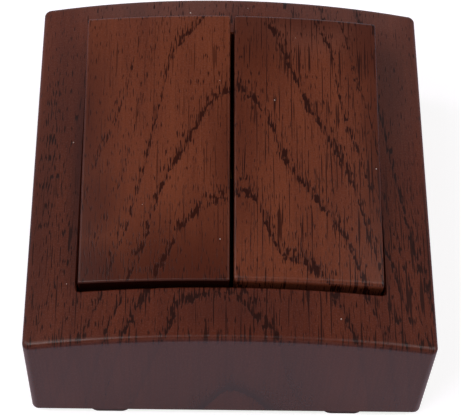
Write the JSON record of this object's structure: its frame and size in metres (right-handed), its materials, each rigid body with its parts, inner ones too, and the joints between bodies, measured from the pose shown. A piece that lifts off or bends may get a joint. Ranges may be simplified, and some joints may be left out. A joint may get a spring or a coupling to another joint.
{
  "type": "double light switch",
  "caption": "Surface-mounted double light switch: a square crowned oak block, stained dark, with oak rockers side by side that tip over a see-saw contact mechanism.",
  "frame": {"origin": "middle of the two wall slots, on the back face of the base plate", "axes": "+X across to the right, +Y to the top edge on the wall, +Z out of the wall"},
  "size_m": [0.08, 0.0811, 0.0445],
  "materials": {
    "oak": "dark red-brown stain under satin lacquer",
    "dark_plastic": "moulded, matt",
    "ivory_plastic": "moulded, matt",
    "rubber": "matt",
    "steel": "zinc plated",
    "brass": "stamped, bright",
    "silver": "silver contact alloy"
  },
  "bodies": {
    "case": {"cover": "oak", "base_plate": "dark_plastic", "wall_pads": "rubber", "cover_screws": "steel", "mechanism_base": "dark_plastic", "mechanism_screws": "steel", "common_strip": "brass", "terminal_block_common": "brass", "terminal_screw_common": "steel", "output_strip_left": "brass", "fixed_contact_left": "silver", "terminal_block_left": "brass", "terminal_screw_left": "steel", "pivot_pin_left": "steel", "output_strip_right": "brass", "fixed_contact_right": "silver", "terminal_block_right": "brass", "terminal_screw_right": "steel", "pivot_pin_right": "steel"},
    "rocker_left": {"rocker_cap_left": "oak", "rocker_carrier_left": "dark_plastic", "spring_left": "steel", "plunger_left": "ivory_plastic"},
    "contact_left": {"contact_blade_left": "brass", "moving_contact_left": "silver"},
    "rocker_right": {"rocker_cap_right": "oak", "rocker_carrier_right": "dark_plastic", "spring_right": "steel", "plunger_right": "ivory_plastic"},
    "contact_right": {"contact_blade_right": "brass", "moving_contact_right": "silver"}
  },
  "joints": [
    {"name": "rocker_left_tilt", "type": "hinge", "parent": "case", "child": "rocker_left", "pos_m": [-0.01503, 0, 0.03047], "axis": [1, 0, 0], "range_deg": [-16, 0]},
    {"name": "contact_left_tilt", "type": "hinge", "parent": "case", "child": "contact_left", "pos_m": [-0.01503, 0, 0.01337], "axis": [1, 0, 0], "range_deg": [0, 18]},
    {"name": "rocker_right_tilt", "type": "hinge", "parent": "case", "child": "rocker_right", "pos_m": [0.01503, 0, 0.03047], "axis": [1, 0, 0], "range_deg": [-16, 0]},
    {"name": "contact_right_tilt", "type": "hinge", "parent": "case", "child": "contact_right", "pos_m": [0.01503, 0, 0.01337], "axis": [1, 0, 0], "range_deg": [0, 18]}
  ],
  "couplings": [
    {"joint": "contact_left_tilt", "follows": "rocker_left_tilt", "ratio": -1.125},
    {"joint": "contact_right_tilt", "follows": "rocker_right_tilt", "ratio": -1.125}
  ]
}
